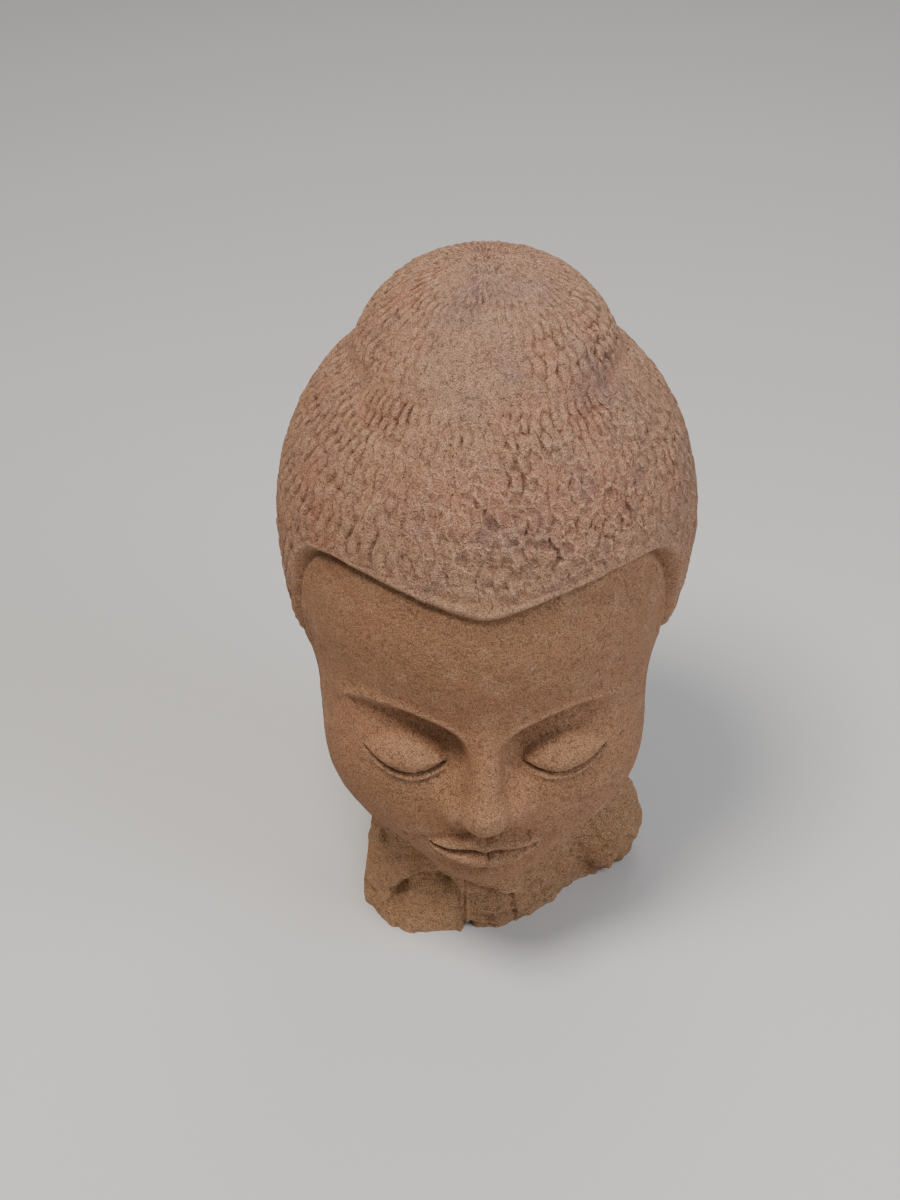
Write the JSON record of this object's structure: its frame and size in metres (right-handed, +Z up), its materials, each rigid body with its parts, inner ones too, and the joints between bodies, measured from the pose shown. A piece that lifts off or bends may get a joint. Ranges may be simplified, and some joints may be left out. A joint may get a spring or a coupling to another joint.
{
  "type": "carved stone head",
  "caption": "Carved sandstone head of a calm figure with tight curled hair and a cranial dome, broken off at the neck and standing on a flat cut base.",
  "frame": {"origin": "on the flat cut underside of the neck, below the middle of the head", "axes": "+Z up the height of the head, the face looks along -Y, +X to the right of someone facing it"},
  "size_m": [0.2225, 0.2375, 0.3819],
  "materials": {
    "sandstone": "weathered, fine grained, unpolished"
  },
  "bodies": {
    "root": {"head": "sandstone"}
  },
  "joints": []
}
